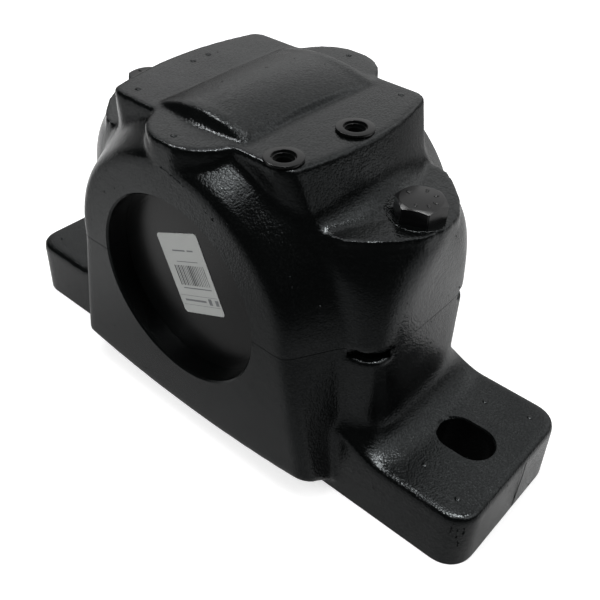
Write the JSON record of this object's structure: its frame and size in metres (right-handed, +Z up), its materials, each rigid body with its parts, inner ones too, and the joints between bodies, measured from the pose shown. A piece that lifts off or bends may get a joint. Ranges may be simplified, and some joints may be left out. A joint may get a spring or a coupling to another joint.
{
  "type": "split plummer block",
  "caption": "Split cast plummer block with bolted cap, slotted feet, closed front end, and a roller bearing on an adapter sleeve inside.",
  "frame": {"origin": "middle of the underside of the feet", "axes": "+X along the feet, +Y along the shaft from the closed front end to the open rear, +Z up"},
  "size_m": [0.28, 0.115, 0.1555],
  "materials": {
    "casting_paint": "gloss black paint over a sand casting",
    "bolt_finish": "black coated bolt head",
    "plug_plastic": "black moulded plastic",
    "cover_plastic": "satin black moulding",
    "label_paper": "white paper label with plain grey bars",
    "seal_rubber": "black nitrile rubber",
    "bearing_steel": "ground bearing steel",
    "cage_steel": "pressed steel",
    "sleeve_steel": "phosphated steel",
    "ring_iron": "turned cast iron"
  },
  "bodies": {
    "housing": {"housing_base": "casting_paint", "housing_cap": "casting_paint", "cap_bolt_right": "bolt_finish", "cap_bolt_left": "bolt_finish", "dowel_pin_right": "bearing_steel", "dowel_pin_left": "bearing_steel", "lubrication_plug_side": "plug_plastic", "lubrication_plug_corner": "plug_plastic", "end_cover": "cover_plastic", "cover_strip": "seal_rubber", "cover_label": "label_paper", "shaft_seal_upper": "seal_rubber", "shaft_seal_lower": "seal_rubber", "outer_ring": "bearing_steel", "locating_ring_front": "ring_iron", "locating_ring_rear": "ring_iron"},
    "rotor": {"inner_ring": "bearing_steel", "adapter_sleeve": "sleeve_steel", "lock_washer": "sleeve_steel", "lock_nut": "sleeve_steel"},
    "roller_set": {"rollers_front": "bearing_steel", "rollers_rear": "bearing_steel", "cage_front": "cage_steel", "cage_rear": "cage_steel", "guide_ring": "cage_steel"}
  },
  "joints": [
    {"name": "shaft_rotation", "type": "hinge", "parent": "housing", "child": "rotor", "pos_m": [0, 0, 0.08], "axis": [0, 1, 0], "continuous": true},
    {"name": "roller_set_rotation", "type": "hinge", "parent": "housing", "child": "roller_set", "pos_m": [0, 0, 0.08], "axis": [0, 1, 0], "continuous": true}
  ],
  "couplings": [
    {"joint": "roller_set_rotation", "follows": "shaft_rotation", "ratio": 0.4325}
  ]
}
